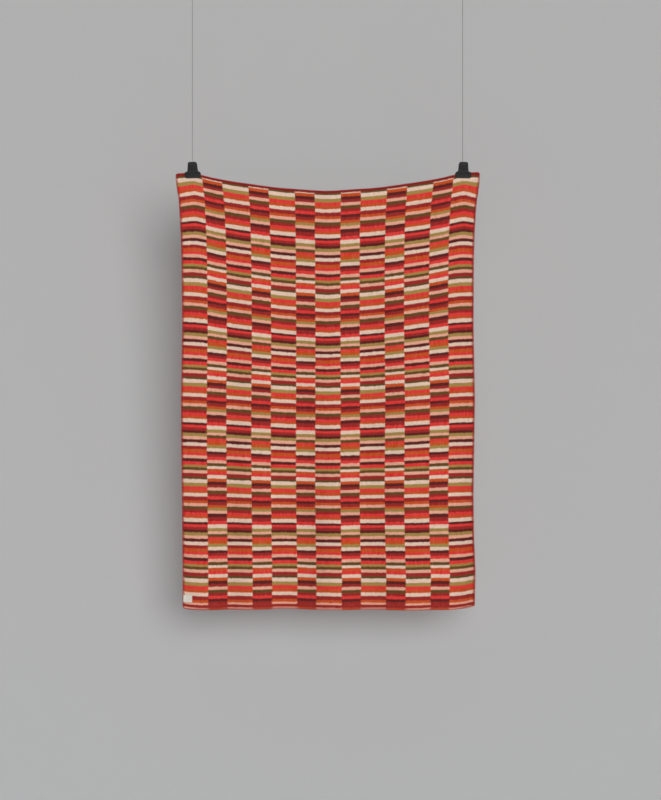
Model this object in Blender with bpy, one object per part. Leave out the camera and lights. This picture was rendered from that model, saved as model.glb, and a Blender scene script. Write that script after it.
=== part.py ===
"""Wool throw held by two sprung clips on hanging wires.

Metres, +Z up. The origin is on the ceiling, midway between the two wires.
The throw's face looks towards -Y, and its label is at the lower corner on the -X side.
"""

import math

import bmesh
import bpy
from mathutils import Matrix, Vector
from mathutils.bvhtree import BVHTree

MM = 0.001
GAP = 0.3 * MM  # between pieces that touch

# Throw: cut size and how it hangs
CUT_WIDTH = 1.30
CLOTH_THICK = 3 * MM
CLIP_X = 0.575  # each wire's distance from the middle
EDGE_TOP_Z = -0.793  # the cloth's top edge at the clips
HEM_Z = -2.649
TOP_SAG = 78 * MM  # how far the top edge sinks midway between the clips
PEAK_RADIUS = 4 * MM  # rows turn this sharply under a clip at the top
PEAK_SPREAD = 0.24  # and this much softer over the throw's length
PEAK_SHIFT = 0.12  # the turn moves inwards by this over the throw's length
PEAK_SHIFT_END = 0.4  # and stops doing so at this share of it
CLOTH_COLUMNS = 44
CLOTH_ROWS = 24
ROW_CROWDING = 1.35  # above 1 sets the rows closer near the clips
DEPTH_START = 0.025  # share of the length under the clips that stays flat

# Line of the top edge: share of the way from a clip to the middle, share of the sag
TOP_LINE = (
    (0.00, 0.000),
    (0.15, 0.280),
    (0.24, 0.405),
    (0.33, 0.520),
    (0.42, 0.615),
    (0.51, 0.710),
    (0.60, 0.790),
    (0.69, 0.853),
    (0.78, 0.895),
    (0.87, 0.950),
    (0.96, 0.995),
    (1.00, 1.000),
)

# Rows flatten towards the hem: share of the length down, share of the top edge's sag
SAG_FADE = (
    (0.00, 1.00),
    (0.27, 0.98),
    (0.34, 0.88),
    (0.41, 0.72),
    (0.48, 0.57),
    (0.55, 0.47),
    (0.62, 0.38),
    (0.68, 0.28),
    (0.75, 0.19),
    (0.82, 0.08),
    (0.88, 0.02),
    (1.00, 0.00),
)

# Fall of the rows outside the clips: share of the length down, slope at the left, at the right
OUTER_SLOPE = (
    (0.000, 0.06, -0.03),
    (0.040, 0.19, 0.10),
    (0.075, 0.18, 0.15),
    (0.140, 0.09, 0.10),
    (0.200, 0.04, 0.05),
    (0.350, 0.00, 0.00),
)

# Side edges: share of the length down, left x, right x
SIDES = (
    (0.000, -0.645, 0.647),
    (0.015, -0.643, 0.646),
    (0.040, -0.636, 0.639),
    (0.055, -0.631, 0.634),
    (0.085, -0.628, 0.629),
    (0.140, -0.622, 0.624),
    (0.200, -0.619, 0.621),
    (0.350, -0.616, 0.620),
    (0.520, -0.621, 0.626),
    (0.630, -0.620, 0.623),
    (0.740, -0.617, 0.620),
    (0.840, -0.615, 0.623),
    (0.920, -0.614, 0.629),
    (1.000, -0.614, 0.626),
)

# Soft upright folds: share across at the top, share across at the hem, half width,
# then how far back from the clips' plane at the top, halfway down and at the hem
FOLDS = (
    (0.03, 0.05, 0.110, 0.000, -0.008, -0.018),
    (0.15, 0.15, 0.110, 0.000, 0.008, 0.010),
    (0.27, 0.23, 0.120, -0.004, -0.010, -0.017),
    (0.40, 0.38, 0.150, 0.003, 0.011, 0.024),
    (0.53, 0.52, 0.130, -0.006, -0.012, -0.022),
    (0.65, 0.61, 0.110, 0.002, 0.007, 0.010),
    (0.76, 0.76, 0.140, -0.004, -0.011, -0.020),
    (0.94, 0.95, 0.130, 0.000, 0.010, 0.026),
)

# Hem: share across, how far above its level line
HEM_LIFTS = (
    (0.000, 6.0 * MM),
    (0.020, 2.0 * MM),
    (0.060, -1.0 * MM),
    (0.120, -2.5 * MM),
    (0.190, 0.0 * MM),
    (0.330, 1.5 * MM),
    (0.430, -2.0 * MM),
    (0.500, 0.5 * MM),
    (0.600, -2.5 * MM),
    (0.690, -1.0 * MM),
    (0.780, -2.5 * MM),
    (0.860, -2.0 * MM),
    (0.930, -4.5 * MM),
    (0.965, 0.0 * MM),
    (1.000, 11.0 * MM),
)

# Label: blank, sewn on the face at the lower corner
LABEL_WIDTH = 38.5 * MM
LABEL_HEIGHT = 31 * MM
LABEL_THICK = 0.7 * MM
LABEL_CENTRE_X = -0.5935
LABEL_CENTRE_Z = -2.6025
LABEL_TILT = math.radians(-1.5)
LABEL_GAP = 0.5 * MM
LABEL_COLUMNS = 6
LABEL_ROWS = 5

# Clips: sizes in mm from the barrel's axis
CLIP_TILT = {-1: math.radians(1.8), 1: math.radians(-1.3)}
CLIP_SHIFT = {-1: 1.5 * MM, 1: 2.5 * MM}  # a clip's middle beyond its wire, towards +X
BARREL_Z = EDGE_TOP_Z + 8.5 * MM
PLATE_THICK = 1 * MM
PLATE_SEGMENTS = 6
LEVER_TOP = 35.9
LEVER_HALF_TOP = 19.0
LEVER_HALF_FOOT = 22.2
LEVER_CORNER = 7.5
SHOULDER = -3.6
JAW_HALF = 34.2
JAW_SHOULDER = 10.5
JAW_FOOT = -30.6
JAW_CORNER = 6.5
CORNER_STEPS = 4
# Side view of a plate: height, distance of its middle from the clip's plane
PLATE_BEND = (
    (LEVER_TOP, 15.5),
    (22.0, 12.4),
    (10.0, 9.3),
    (4.0, 8.1),
    (SHOULDER, 7.3),
    (-8.0, 6.3),
    (-14.0, 4.6),
    (-21.0, 3.0),
    (-26.0, 2.3),
    (JAW_FOOT, 2.3),
)
BARREL_RADIUS = 5.0
PIN_RADIUS = 1.6
PIN_CLEARANCE = 0.3
PIN_HEAD_RADIUS = 2.6
PIN_HEAD_THICK = 0.8
CHEEK_RADIUS = 4.2
CHEEK_THICK = 1.0
CHEEK_X = {"front": 21.2, "back": 19.9}  # inner side of each ear, from the middle
BARREL_HALF = CHEEK_X["back"] - 0.3
ROUND_SIDES = 16

# Wires, in mm where they are worked out from the barrel's axis
WIRE_DIAMETER = 1.5 * MM
WIRE_POINTS = 20
LOOP_RADIUS = BARREL_RADIUS + 0.3 + 0.75
LOOP_STEPS = 14
LOOP_NECK = 0.95
SLEEVE_FOOT = {-1: 26.4, 1: 21.0}  # by side: the crimps are not at one height
SLEEVE_LONG = 11.5
LEG_IN_SLEEVE = 2.5
SLEEVE_RADIUS_X = 2.0
SLEEVE_RADIUS_Y = 2.6
# Ceiling fitting, turned: distance below the ceiling, radius
FITTING_PROFILE = (
    (0.0, 14.0),
    (3.2, 14.0),
    (4.0, 13.2),
    (4.0, 6.5),
    (22.0, 6.5),
    (30.0, 3.0),
)


def clear_scene():
    for item in list(bpy.data.objects):
        bpy.data.objects.remove(item)


def material(name, colour, roughness, metallic=0.0):
    made = bpy.data.materials.new(name)
    made.use_nodes = True
    shader = made.node_tree.nodes["Principled BSDF"]
    shader.inputs["Base Color"].default_value = (*colour, 1.0)
    shader.inputs["Roughness"].default_value = roughness
    shader.inputs["Metallic"].default_value = metallic
    return made


def add_object(name, data, finish=None):
    made = bpy.data.objects.new(name, data)
    bpy.context.scene.collection.objects.link(made)
    if finish:
        made.data.materials.append(finish)
    return made


def mesh_from(name, form):
    bmesh.ops.recalc_face_normals(form, faces=form.faces)
    mesh = bpy.data.meshes.new(name)
    form.to_mesh(mesh)
    form.free()
    return mesh


def between(table, place, column):
    """The value of one column of a table whose first column rises or falls, read at a place."""
    rising = sorted(table, key=lambda row: row[0])
    if place <= rising[0][0]:
        return rising[0][column]
    for low, high in zip(rising, rising[1:]):
        if place <= high[0]:
            share = (place - low[0]) / (high[0] - low[0])
            return low[column] + (high[column] - low[column]) * share
    return rising[-1][column]


def smooth_step(value):
    value = min(max(value, 0.0), 1.0)
    return value * value * (3 - 2 * value)


def row_sag(x, down):
    """How far a row of the cloth hangs below its height at the clips."""
    inward = CLIP_X - PEAK_SHIFT * min(down, PEAK_SHIFT_END) - abs(x)
    radius = PEAK_RADIUS + PEAK_SPREAD * down
    rounded = math.hypot(inward, radius)
    inside = min((rounded + inward) / 2 / CLIP_X, 1.0)
    outside = (rounded - inward) / 2
    droop = between(OUTER_SLOPE, down, 2 if x > 0 else 1) * outside
    return TOP_SAG * between(TOP_LINE, inside, 1) * between(SAG_FADE, down, 1) + droop


def fold_depth(across, down):
    """How far the cloth lies behind the clips' plane."""
    depth = 0.0
    for top_across, hem_across, half_width, at_top, at_middle, at_hem in FOLDS:
        centre = top_across + (hem_across - top_across) * down
        reach = (across - centre) * CUT_WIDTH / half_width
        if abs(reach) >= 1:
            continue
        if down < 0.5:
            height = at_top + (at_middle - at_top) * smooth_step(down * 2)
        else:
            height = at_middle + (at_hem - at_middle) * smooth_step(down * 2 - 1)
        depth += height * math.cos(reach * math.pi / 2) ** 2
    x = abs(between(SIDES, down, 1) * (1 - across) + between(SIDES, down, 2) * across)
    grip = smooth_step((CLIP_X - 0.05 - x) / 0.15)
    return depth * max(grip, smooth_step((down - DEPTH_START) / 0.12))


def cloth_point(across, down):
    """A point of the cloth's middle surface. Both shares run from 0 to 1."""
    x = between(SIDES, down, 1) * (1 - across) + between(SIDES, down, 2) * across
    z = EDGE_TOP_Z + (HEM_Z - EDGE_TOP_Z) * down - row_sag(x, down)
    z += between(HEM_LIFTS, across, 1) * smooth_step(down * 3 - 2)
    return Vector((x, fold_depth(across, down), z))


def throw_mesh():
    form = bmesh.new()
    places = [column / CLOTH_COLUMNS for column in range(CLOTH_COLUMNS + 1)]
    rows = []
    for row in range(CLOTH_ROWS + 1):
        down = (row / CLOTH_ROWS) ** ROW_CROWDING
        rows.append([form.verts.new(cloth_point(across, down)) for across in places])
    for upper, lower in zip(rows, rows[1:]):
        for column in range(CLOTH_COLUMNS):
            form.faces.new((upper[column], lower[column], lower[column + 1], upper[column + 1]))
    mesh = bpy.data.meshes.new("throw")
    form.to_mesh(mesh)
    form.free()
    return mesh


def thicken(item, thickness):
    shell = item.modifiers.new("Thickness", "SOLIDIFY")
    shell.thickness = thickness
    shell.offset = 0
    shell.use_even_offset = True
    return shell


def label_mesh(throw):
    """A small sheet that follows the throw's face a little in front of it."""
    evaluated = throw.evaluated_get(bpy.context.evaluated_depsgraph_get())
    face = BVHTree.FromObject(evaluated, bpy.context.evaluated_depsgraph_get())
    form = bmesh.new()
    bmesh.ops.create_grid(form, x_segments=LABEL_COLUMNS, y_segments=LABEL_ROWS, size=0.5)
    stand = LABEL_GAP + LABEL_THICK / 2
    turn = Matrix.Rotation(LABEL_TILT, 2)
    for vert in form.verts:
        flat = turn @ Vector((vert.co.x * LABEL_WIDTH, vert.co.y * LABEL_HEIGHT))
        start = Vector((LABEL_CENTRE_X + flat.x, -1.0, LABEL_CENTRE_Z + flat.y))
        hit = face.ray_cast(start, Vector((0, 1, 0)))[0]
        vert.co = (start.x, hit.y - stand, start.z)
    mesh = bpy.data.meshes.new("label")
    form.to_mesh(mesh)
    form.free()
    return mesh


def arc_rows(edge, half, radius, upper):
    """Height and half width down a rounded corner, for the top or the foot of a plate."""
    rows = []
    for step in range(CORNER_STEPS + 1):
        angle = math.pi / 2 * step / CORNER_STEPS
        if upper:
            rows.append((edge - radius * (1 - math.cos(angle)), half - radius * (1 - math.sin(angle))))
        else:
            rows.append((edge + radius * (1 - math.sin(angle)), half - radius * (1 - math.cos(angle))))
    return rows


def plate_rows():
    """Height and half width of a plate, from the lever's top to the jaw's lip."""
    lever_foot = (SHOULDER + 1.5, LEVER_HALF_FOOT)
    rows = arc_rows(LEVER_TOP, LEVER_HALF_TOP, LEVER_CORNER, True)
    rows += [(16.0, 20.4), (6.0, 21.3), lever_foot]
    rows += arc_rows(SHOULDER, JAW_HALF, JAW_SHOULDER, True)
    rows += [(-19.0, JAW_HALF)]
    rows += arc_rows(JAW_FOOT, JAW_HALF, JAW_CORNER, False)
    return rows


def plate_mesh(name, facing):
    """The bent sheet of one plate. facing is -1 for the front plate and 1 for the back one."""
    form = bmesh.new()
    rows = []
    for height, half in plate_rows():
        depth = between(PLATE_BEND, height, 1) * facing
        rows.append([
            form.verts.new(Vector((half * (2 * place / PLATE_SEGMENTS - 1), depth, height)) * MM)
            for place in range(PLATE_SEGMENTS + 1)
        ])
    for upper, lower in zip(rows, rows[1:]):
        for place in range(PLATE_SEGMENTS):
            form.faces.new((upper[place], lower[place], lower[place + 1], upper[place + 1]))
    mesh = bpy.data.meshes.new(name)
    form.to_mesh(mesh)
    form.free()
    return mesh


def turned_mesh(name, profile, axis, sides=ROUND_SIDES):
    """A solid turned about X or Z from rows of place along the axis and radius, in mm."""
    form = bmesh.new()
    rings = []
    for place, radius in profile:
        ring = []
        for side in range(sides):
            angle = 2 * math.pi * side / sides
            a, b = radius * math.cos(angle), radius * math.sin(angle)
            point = (place, a, b) if axis == "X" else (a, b, place)
            ring.append(form.verts.new(Vector(point) * MM))
        rings.append(ring)
    for one, other in zip(rings, rings[1:]):
        for side in range(sides):
            after = (side + 1) % sides
            form.faces.new((one[side], one[after], other[after], other[side]))
    form.faces.new(rings[0])
    form.faces.new(rings[-1])
    return mesh_from(name, form)


def cheek_mesh(name, where, facing, side):
    """An ear of a plate, bent in beside the barrel: a strip with a round end about the pin."""
    inner = CHEEK_X[where] * side
    outer = inner + CHEEK_THICK * side
    reach = between(PLATE_BEND, 0, 1) * facing
    outline = [(reach, -CHEEK_RADIUS), (reach, CHEEK_RADIUS)]
    for step in range(9):
        angle = math.pi / 2 - math.pi * step / 8
        outline.append((-facing * CHEEK_RADIUS * math.cos(angle), CHEEK_RADIUS * math.sin(angle)))
    form = bmesh.new()
    near = [form.verts.new(Vector((inner, y, z)) * MM) for y, z in outline]
    far = [form.verts.new(Vector((outer, y, z)) * MM) for y, z in outline]
    form.faces.new(near)
    form.faces.new(far)
    count = len(outline)
    for place in range(count):
        after = (place + 1) % count
        form.faces.new((near[place], near[after], far[after], far[place]))
    return mesh_from(name, form)


def combine(item, other, operation):
    """A Boolean of item with a hidden guide object."""
    other.hide_render = True
    other.display_type = "WIRE"
    cut = item.modifiers.new(operation.title(), "BOOLEAN")
    cut.operation = operation
    cut.solver = "EXACT"
    cut.object = other
    return cut


def add_clip(side, name, finish, spring_finish):
    """Two plates and the barrel between them, turned a little about the barrel."""
    hanger = bpy.data.objects.new(name, None)
    bpy.context.scene.collection.objects.link(hanger)
    hanger.location = (side * CLIP_X + CLIP_SHIFT[side], 0, BARREL_Z)
    hanger.rotation_euler = (0, CLIP_TILT[side] * -1, 0)
    hole_reach = CHEEK_X["front"] + 3 * CHEEK_THICK
    hole_radius = PIN_RADIUS + PIN_CLEARANCE
    hole = add_object(
        f"{name}_pin_hole",
        turned_mesh("pin_hole", ((-hole_reach, hole_radius), (hole_reach, hole_radius)), "X", 12),
    )
    hole.parent = hanger
    for where, facing in (("front", -1), ("back", 1)):
        plate = add_object(f"{name}_{where}", plate_mesh(where, facing), finish)
        plate.parent = hanger
        thicken(plate, PLATE_THICK)
        for cheek_side in (-1, 1):
            ear = add_object(f"{name}_{where}_ear", cheek_mesh("ear", where, facing, cheek_side))
            ear.parent = hanger
            combine(plate, ear, "UNION")
        combine(plate, hole, "DIFFERENCE")
    head_inner = CHEEK_X["front"] + CHEEK_THICK + 0.3
    head_outer = head_inner + PIN_HEAD_THICK
    half = (
        (head_outer, PIN_HEAD_RADIUS - 0.5),
        (head_outer - 0.4, PIN_HEAD_RADIUS),
        (head_inner, PIN_HEAD_RADIUS),
        (head_inner, PIN_RADIUS),
        (BARREL_HALF, PIN_RADIUS),
        (BARREL_HALF, BARREL_RADIUS),
    )
    profile = [(-place, radius) for place, radius in half] + list(reversed(half))
    barrel = add_object(f"{name}_barrel", turned_mesh("barrel", profile, "X"), spring_finish)
    barrel.parent = hanger


def tube(name, points, diameter, finish=None):
    """A tube along a list of points, closed at its ends."""
    curve = bpy.data.curves.new(name, "CURVE")
    curve.dimensions = "3D"
    curve.bevel_depth = diameter / 2
    curve.bevel_resolution = 2
    curve.use_fill_caps = True
    line = curve.splines.new("POLY")
    line.points.add(len(points) - 1)
    for place, point in zip(line.points, points):
        place.co = (*point, 1.0)
    return add_object(name, curve, finish)


def loop_points(side):
    """The wire's line round the barrel, in mm across the clip and up: a ring with two legs."""
    foot = SLEEVE_FOOT[side]
    reach = math.hypot(LOOP_NECK, foot)
    touch = math.atan2(foot, LOOP_NECK) - math.acos(LOOP_RADIUS / reach)
    start, end = touch, -math.pi - touch
    ring = [start + (end - start) * step / LOOP_STEPS for step in range(LOOP_STEPS + 1)]
    points = [(LOOP_NECK, foot + LEG_IN_SLEEVE)]
    points += [(LOOP_NECK, foot)]
    points += [(LOOP_RADIUS * math.cos(angle), LOOP_RADIUS * math.sin(angle)) for angle in ring]
    points += [(-LOOP_NECK, foot), (-LOOP_NECK, foot + LEG_IN_SLEEVE)]
    return points


def add_wire(side, name, wire_finish, fitting_finish):
    """The loop with its sleeve, the taut wire and the ceiling fitting of one side."""
    x = side * CLIP_X
    sleeve_foot = SLEEVE_FOOT[side]
    sleeve_top = sleeve_foot + SLEEVE_LONG
    loop = tube(
        f"{name}_loop_wire",
        [Vector((x, y * MM, BARREL_Z + z * MM)) for y, z in loop_points(side)],
        WIRE_DIAMETER,
    )
    profile = [
        (sleeve_foot, 0.8), (sleeve_foot + 0.7, 1.0), (sleeve_top - 0.7, 1.0), (sleeve_top, 0.8),
    ]
    sleeve = add_object(f"{name}_loop", turned_mesh("sleeve", profile, "Z", 12), wire_finish)
    sleeve.data.transform(Matrix.Diagonal((SLEEVE_RADIUS_X, SLEEVE_RADIUS_Y, 1, 1)))
    sleeve.location = (x, 0, BARREL_Z)
    combine(sleeve, mesh_copy(loop), "UNION")

    foot = BARREL_Z + sleeve_top * MM + GAP
    head = -FITTING_PROFILE[-1][0] * MM - GAP
    rise = [foot + (head - foot) * step / (WIRE_POINTS - 1) for step in range(WIRE_POINTS)]
    tube(name, [Vector((x, 0, z)) for z in rise], WIRE_DIAMETER, wire_finish)

    fitting = add_object(
        f"{name}_fitting",
        turned_mesh("fitting", [(-place, radius) for place, radius in FITTING_PROFILE], "Z", 20),
        fitting_finish,
    )
    fitting.location = (x, 0, 0)


def mesh_copy(curve_object):
    """A curve's tube as a mesh object, so that a Boolean can read it. The curve is removed."""
    name = curve_object.name
    evaluated = curve_object.evaluated_get(bpy.context.evaluated_depsgraph_get())
    form = bmesh.new()
    form.from_mesh(bpy.data.meshes.new_from_object(evaluated))
    bmesh.ops.remove_doubles(form, verts=form.verts, dist=0.00001)
    bpy.data.objects.remove(curve_object)
    return add_object(name, mesh_from(name, form))


def main():
    clear_scene()
    wool = material("wool", (0.42, 0.09, 0.06), 0.9)
    ribbon = material("label_ribbon", (0.8, 0.76, 0.7), 0.7)
    black = material("clip_black", (0.03, 0.03, 0.03), 0.45)
    spring = material("spring_steel", (0.25, 0.25, 0.26), 0.4, 1.0)
    steel = material("wire_steel", (0.45, 0.45, 0.46), 0.35, 1.0)
    nickel = material("fitting_nickel", (0.6, 0.6, 0.6), 0.3, 1.0)

    throw = add_object("throw", throw_mesh(), wool)
    thicken(throw, CLOTH_THICK)
    throw.data.shade_smooth()
    bpy.context.view_layer.update()
    label = add_object("label", label_mesh(throw), ribbon)
    thicken(label, LABEL_THICK)
    for side, word in ((-1, "left"), (1, "right")):
        add_clip(side, f"clip_{word}", black, spring)
        add_wire(side, f"wire_{word}", steel, nickel)


main()
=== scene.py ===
"""Looks of the wool throw and its hanging clips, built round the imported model.

Metres, +Z up. The origin is on the ceiling, midway between the wires. The throw's face looks towards -Y,
and its label is at the lower corner on the -X side.
"""

import math

import bmesh
import bpy
import numpy as np
from mathutils import Matrix, Vector, noise


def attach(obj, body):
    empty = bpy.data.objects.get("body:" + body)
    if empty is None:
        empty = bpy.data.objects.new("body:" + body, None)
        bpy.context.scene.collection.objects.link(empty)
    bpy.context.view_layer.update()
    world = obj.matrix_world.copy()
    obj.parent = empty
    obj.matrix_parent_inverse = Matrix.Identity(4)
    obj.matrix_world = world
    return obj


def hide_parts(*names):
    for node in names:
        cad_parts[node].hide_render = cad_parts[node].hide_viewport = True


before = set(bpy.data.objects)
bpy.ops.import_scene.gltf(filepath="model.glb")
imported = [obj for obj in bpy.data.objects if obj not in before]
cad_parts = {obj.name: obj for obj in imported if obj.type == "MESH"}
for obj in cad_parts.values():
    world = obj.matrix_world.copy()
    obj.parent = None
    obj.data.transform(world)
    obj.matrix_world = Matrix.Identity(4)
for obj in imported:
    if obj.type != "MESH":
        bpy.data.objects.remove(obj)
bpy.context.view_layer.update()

MM = 0.001
GAP = 0.3  # mm, between pieces that touch
SIDES_OF_THROW = (("left", -1), ("right", 1))

# Picture: what one pixel of the photograph spans at the throw, and its middle
PIXEL = 4.254 * MM
PICTURE_TALL = 800
PICTURE_MIDDLE = (0.0128, -1.7594)
CAMERA_DISTANCE = 7.0
SENSOR = 36.0

# Stage: the backdrop leans, and is nearer to the throw at its foot
FLOOR_Z = -3.75
FLOOR_RADIUS = 50
WALL_Y = 0.38
WALL_Z = -1.7
WALL_LEAN = -0.08
WALL_GREY = (0.470, 0.459, 0.455)
# Painted light: the backdrop's colour is painted cooler close behind the throw, to cancel the red light that
# the throw bounces onto it there
WALL_PAINTED_COOL = (0.460, 0.470, 0.468)  # close behind the throw, whose red light falls on it there
WALL_PAINTED_COOL_REACH = (0.55, 0.85)  # shares of the throw's size from its middle, over which this fades
# Painted light: the backdrop glows at its foot, though it is no lamp
WALL_FOOT_PAINTED_GLOW = (0.060, 0.071, 0.078)  # at its foot, fading to none at its top
WALL_TALL = 7
FLOOR_GREY = (0.62, 0.62, 0.61)
AMBIENT = (0.117, 0.130, 0.137)
PALE_SURROUND = (0.46, 0.46, 0.46)
# Lights: name, strength, degrees over which it spreads, direction in which it shines
LIGHTS = (
    ("key_light", 2.43, 47, (-0.27, 1.0, -0.20)),
    ("back_light", 1.2, 50, (0.35, -1.0, -0.45)),
    ("top_light", 0.35, 50, (0.1, 0.12, -1.0)),
)

# Throw
CUT_WIDTH = 1.30
CUT_LENGTH = 1.80
CLOTH_THICK = 2.8 * MM
CLIP_X = 0.575
EDGE_TOP_Z = -0.793
HEM_Z = -2.649
TOP_SAG = 78 * MM
DEPTH_START = 0.025
CLOTH_CORNER = 7 * MM  # radius of the cloth's corners
CLOTH_COLUMNS = 166
CLOTH_ROWS = 260
UNEVEN = 0.9 * MM  # small swells of the cloth
EDGE_STEPS = (0.0, 0.5, 1.2, 2.2, 3.5, 5.2)  # mm from each edge, where the grid is closer

# Line of the top edge: share of the way from a clip to the middle, share of the sag
TOP_LINE = (
    (0.00, 0.000),
    (0.15, 0.280),
    (0.24, 0.405),
    (0.33, 0.520),
    (0.42, 0.615),
    (0.51, 0.710),
    (0.60, 0.790),
    (0.69, 0.853),
    (0.78, 0.895),
    (0.87, 0.950),
    (0.96, 0.995),
    (1.00, 1.000),
)

# Rows flatten towards the hem: share of the length down, share of the top edge's sag
SAG_FADE = (
    (0.00, 1.00),
    (0.27, 0.98),
    (0.34, 0.88),
    (0.41, 0.72),
    (0.48, 0.57),
    (0.55, 0.47),
    (0.62, 0.38),
    (0.68, 0.28),
    (0.75, 0.19),
    (0.82, 0.08),
    (0.88, 0.02),
    (1.00, 0.00),
)

# Fall of the rows outside the clips: share of the length down, slope at the left, at the right
OUTER_SLOPE = (
    (0.000, 0.06, -0.03),
    (0.025, 0.15, 0.16),
    (0.042, 0.19, 0.27),
    (0.070, 0.17, 0.24),
    (0.100, 0.14, 0.20),
    (0.140, 0.10, 0.17),
    (0.190, 0.05, 0.10),
    (0.270, 0.02, 0.03),
    (0.350, 0.00, 0.00),
)

# Peaks of the rows below the clips: share of the length down, distance from the throw's middle line
# at the left, at the right, then the peak's radius
PEAKS = (
    (0.00, 0.575, 0.575, 3 * MM),
    (0.04, 0.567, 0.579, 6 * MM),
    (0.10, 0.563, 0.577, 11 * MM),
    (0.14, 0.559, 0.573, 15 * MM),
    (0.19, 0.553, 0.566, 27 * MM),
    (0.25, 0.545, 0.552, 44 * MM),
    (0.35, 0.533, 0.533, 88 * MM),
    (0.40, 0.527, 0.527, 100 * MM),
    (1.00, 0.527, 0.527, 244 * MM),
)

# Side edges: share of the length down, left x, right x
SIDES = (
    (0.000, -0.645, 0.647),
    (0.015, -0.643, 0.646),
    (0.040, -0.636, 0.639),
    (0.055, -0.631, 0.634),
    (0.085, -0.628, 0.629),
    (0.140, -0.622, 0.624),
    (0.200, -0.619, 0.621),
    (0.350, -0.616, 0.620),
    (0.520, -0.621, 0.626),
    (0.630, -0.620, 0.623),
    (0.740, -0.617, 0.620),
    (0.840, -0.615, 0.623),
    (0.920, -0.614, 0.629),
    (1.000, -0.614, 0.626),
)

# Soft upright folds: share across at the top, share across at the hem, half width,
# then how far back from the clips' plane at the top, halfway down and at the hem
FOLDS = (
    (0.03, 0.05, 0.110, 0.000, -0.008, -0.018),
    (0.15, 0.15, 0.110, 0.000, 0.008, 0.010),
    (0.27, 0.23, 0.120, -0.004, -0.010, -0.017),
    (0.40, 0.38, 0.150, 0.003, 0.011, 0.024),
    (0.53, 0.52, 0.130, -0.006, -0.012, -0.022),
    (0.65, 0.61, 0.110, 0.002, 0.007, 0.010),
    (0.76, 0.76, 0.140, -0.004, -0.011, -0.020),
    (0.94, 0.95, 0.130, 0.000, 0.010, 0.026),
)

# Hem: share across, how far above its level line
HEM_LIFTS = (
    (0.000, 6.0 * MM),
    (0.020, 2.0 * MM),
    (0.060, -1.0 * MM),
    (0.120, -2.5 * MM),
    (0.190, 0.0 * MM),
    (0.330, 1.5 * MM),
    (0.430, -2.0 * MM),
    (0.500, 0.5 * MM),
    (0.600, -2.5 * MM),
    (0.690, -1.0 * MM),
    (0.780, -2.5 * MM),
    (0.860, -2.0 * MM),
    (0.930, -4.5 * MM),
    (0.965, 0.0 * MM),
    (1.000, 11.0 * MM),
)

# Creases: where each starts and ends (x, z), half width, height towards the viewer
CREASES = (
    (-0.575, -0.835, -0.475, -1.080, 0.030, 3.0 * MM),
    (-0.570, -0.835, -0.560, -1.150, 0.028, -2.5 * MM),
    (-0.590, -0.835, -0.612, -1.060, 0.022, 2.5 * MM),
    (-0.540, -0.860, -0.330, -0.990, 0.030, -2.2 * MM),
    (0.575, -0.835, 0.480, -1.100, 0.030, 3.0 * MM),
    (0.570, -0.835, 0.565, -1.170, 0.028, -2.5 * MM),
    (0.590, -0.835, 0.610, -1.040, 0.022, 2.5 * MM),
    (0.540, -0.860, 0.350, -1.000, 0.030, -2.2 * MM),
)

# Edge stitches: edge, pitch, how deep they bite into the cloth, radius of the yarn
OVERCAST = (
    ("top", 6.4 * MM, 8.5 * MM, 1.2 * MM),
    ("hem", 9.4 * MM, 8.5 * MM, 1.6 * MM),
    ("left", 4.3 * MM, 8.0 * MM, 1.3 * MM),
    ("right", 4.3 * MM, 8.0 * MM, 1.3 * MM),
)
# One stitch: share of the pitch along the edge, share of the bite outwards, height off the cloth's middle
# (up to 1 in half thicknesses of the cloth, past it in radii of the yarn), share of the yarn's radius
STITCH_PATH = (
    (-0.16, -1.00, 0.6, 0.55),
    (-0.15, -0.90, 1.9, 0.90),
    (-0.10, -0.50, 2.2, 1.00),
    (-0.04, -0.08, 2.0, 1.00),
    (0.00, 0.14, 0.0, 1.00),
    (0.04, -0.08, -2.0, 1.00),
    (0.10, -0.50, -2.2, 1.00),
    (0.15, -0.90, -1.9, 0.90),
    (0.16, -1.00, -0.6, 0.55),
)
STITCH_SIDES = 6
STITCH_ANGLES = np.arange(STITCH_SIDES) * 2 * math.pi / STITCH_SIDES
STITCH_POINTS = len(STITCH_PATH) * STITCH_SIDES

# Label
LABEL_WIDTH = 38.5 * MM
LABEL_HEIGHT = 31 * MM
LABEL_THICK = 0.7 * MM
LABEL_CENTRE = (-0.5935, -2.6025)
LABEL_TILT = math.radians(-1.5)
LABEL_STAND = 2.4 * MM  # its middle in front of the cloth's middle
LABEL_OVER_EDGE = 2.9 * MM  # how much further it stands where it lies on the edge stitches
THREAD_RADIUS = 0.22 * MM
THREAD_PITCH = 3.1 * MM
THREAD_LONG = 1.9 * MM
THREAD_INSET = 1.3 * MM
# One stitch of thread: share of half its length, height in mm in front of the label's face
THREAD_PATH = (
    (-1.0, -0.3),
    (-0.8, 0.06),
    (0.0, 0.14),
    (0.8, 0.06),
    (1.0, -0.3),
)

# Colours of the yarns, linear
YARNS = {
    "cream": (0.850, 0.610, 0.475),
    "salmon": (0.850, 0.410, 0.290),
    "scarlet": (0.790, 0.047, 0.041),
    "crimson": (0.350, 0.025, 0.022),
    "orange": (0.620, 0.088, 0.020),
    "olive": (0.400, 0.255, 0.068),
    "bark": (0.135, 0.068, 0.018),
    "burgundy": (0.115, 0.018, 0.016),
}
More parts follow.
